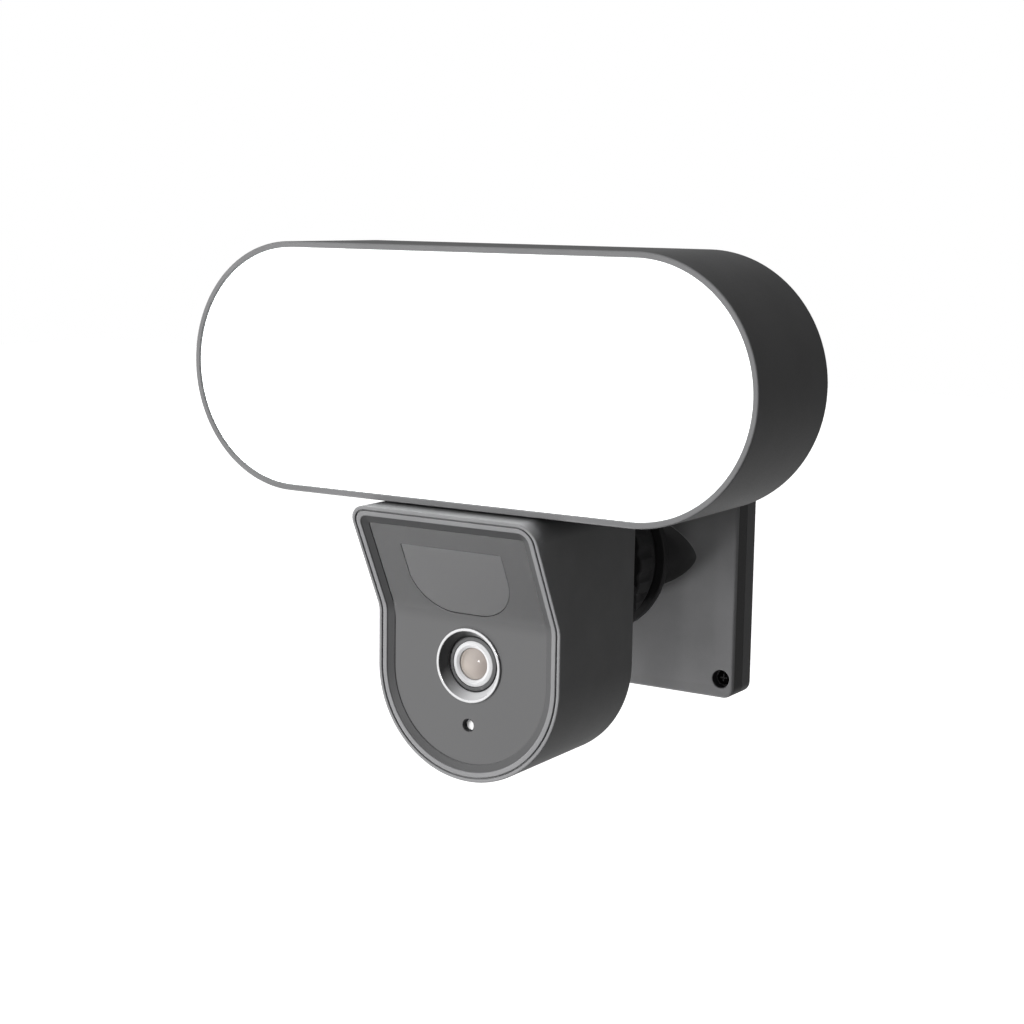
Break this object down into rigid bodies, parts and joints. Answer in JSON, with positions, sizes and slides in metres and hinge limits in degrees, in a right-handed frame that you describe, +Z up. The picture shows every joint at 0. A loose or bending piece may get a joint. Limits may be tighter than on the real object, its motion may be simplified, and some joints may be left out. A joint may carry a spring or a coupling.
{
  "type": "floodlight security camera",
  "caption": "Wide stadium-shaped lamp on a camera head with a leaning visor, held by a ball joint with a ring nut on a square wall plate.",
  "frame": {"origin": "centre of the wall plate's back face, where it rests on the wall", "axes": "+Z up, the camera and lamp look along -Y, +Y points into the wall"},
  "size_m": [0.26, 0.1567, 0.2142],
  "materials": {
    "housing": "fine moulded texture, satin",
    "black_plastic": "smooth black",
    "rubber": "soft matte",
    "nylon": "natural nylon",
    "steel": "plated",
    "gloss_panel": "polished dark grey",
    "pir_film": "smoked translucent",
    "silver_ring": "turned, bright rim",
    "pearl_ring": "light grey ring",
    "lens_glass": "coated lens",
    "circuit": "solder mask",
    "antenna": "flexible circuit",
    "wire": "insulation",
    "opal": "opal diffuser, lit",
    "white_sheet": "white film",
    "led": "phosphor",
    "aluminium": "sheet"
  },
  "bodies": {
    "wall_bracket": {"wall_base": "housing", "wall_gasket": "rubber", "wall_plate": "housing", "plate_screws": "steel", "clamp_ring": "nylon"},
    "ring_nut": {"ring_nut": "housing"},
    "seat_liner": {"seat_liner": "nylon"},
    "ball_stud": {"ball_stud": "steel", "stud_washer": "steel", "stud_nut": "steel"},
    "port_cover": {"port_cover": "rubber"},
    "reset_button": {"reset_button": "housing"},
    "camera_head": {"mount_foot": "housing", "foot_seal": "rubber", "foot_screws": "steel", "backing_plate": "steel", "camera_shell": "housing", "shell_screws": "steel", "face_bezel": "housing", "bezel_seal": "rubber", "face_panel": "gloss_panel", "inner_frame": "black_plastic", "pir_window": "pir_film", "pir_sensor": "steel", "pir_board": "circuit", "lens_ring": "silver_ring", "lens_recess": "black_plastic", "lens_tube": "pearl_ring", "lens_glass": "lens_glass", "sensor_board": "circuit", "mic_boot": "rubber", "microphone": "steel", "main_board": "circuit", "board_chips": "black_plastic", "board_screws": "steel", "wifi_antenna": "antenna", "speaker": "black_plastic", "speaker_gasket": "rubber", "port_frame": "rubber", "power_socket": "steel", "button_spring": "steel", "reset_switch": "black_plastic", "joint_seal": "rubber", "joint_screws": "steel", "lamp_wires": "wire", "lamp_housing": "housing", "lamp_back": "housing", "back_seal": "rubber", "back_screws": "steel", "lamp_diffuser": "opal", "diffuser_seal": "rubber", "reflector": "white_sheet", "led_board": "white_sheet", "leds": "led", "heat_spreader": "aluminium", "driver_board": "circuit", "driver_parts": "black_plastic", "driver_screws": "steel"}
  },
  "joints": [
    {"name": "nut_turn", "type": "hinge", "parent": "wall_bracket", "child": "ring_nut", "pos_m": [0, -0.045, 0], "axis": [0, -1, 0], "range_deg": [0, 180]},
    {"name": "pan", "type": "hinge", "parent": "wall_bracket", "child": "seat_liner", "pos_m": [0, -0.0415, 0], "axis": [0, 0, 1], "range_deg": [-25, 25]},
    {"name": "tilt", "type": "hinge", "parent": "seat_liner", "child": "ball_stud", "pos_m": [0, -0.0415, 0], "axis": [1, 0, 0], "range_deg": [-25, 20]},
    {"name": "roll", "type": "hinge", "parent": "ball_stud", "child": "camera_head", "pos_m": [0, -0.0415, 0], "axis": [0, -1, 0], "range_deg": [-15, 15]},
    {"name": "port_cover_open", "type": "hinge", "parent": "camera_head", "child": "port_cover", "pos_m": [0.0339, -0.0759, -0.01655], "axis": [-1, 0, 0], "range_deg": [0, 85]},
    {"name": "reset_press", "type": "slide", "parent": "camera_head", "child": "reset_button", "axis": [0, -1, 0], "range_m": [0, 0.0008], "stiffness_N_per_m": 400, "deforming": ["button_spring"]}
  ]
}
